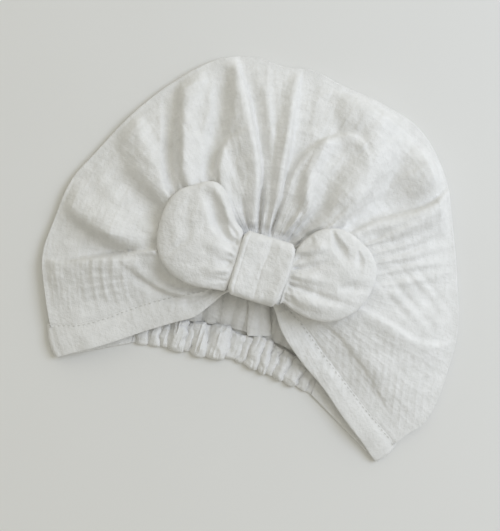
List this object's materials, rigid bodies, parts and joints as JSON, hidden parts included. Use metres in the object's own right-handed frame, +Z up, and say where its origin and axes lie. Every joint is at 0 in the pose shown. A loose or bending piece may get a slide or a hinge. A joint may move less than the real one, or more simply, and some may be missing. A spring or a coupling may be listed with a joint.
{
  "type": "baby turban cap",
  "caption": "Soft double-gauze baby turban cap with gathered front, padded bow held by a knot band, stitched face hem and ruffled nape casing, lying flattened on its back.",
  "frame": {"origin": "on the surface that the cap lies on, at the flat underside of its back panel, directly below the middle of the bow's knot", "axes": "+X towards the right lobe of the bow as seen from the front, +Y from the face opening to the crown's top, +Z up from the surface through the back panel to the front with the bow"},
  "size_m": [0.2427, 0.2039, 0.0308],
  "materials": {
    "double_gauze": "matte crinkled cotton muslin",
    "hem_gauze": "matte cotton muslin, turned and stitched",
    "bow_gauze": "matte crinkled cotton muslin, lightly padded"
  },
  "bodies": {
    "root": {"crown_left": "double_gauze", "crown_right": "double_gauze", "crown_back": "double_gauze", "hem_left": "hem_gauze", "hem_right": "hem_gauze", "back_casing": "hem_gauze", "back_seam": "double_gauze", "bow": "bow_gauze", "knot": "bow_gauze"}
  },
  "joints": []
}
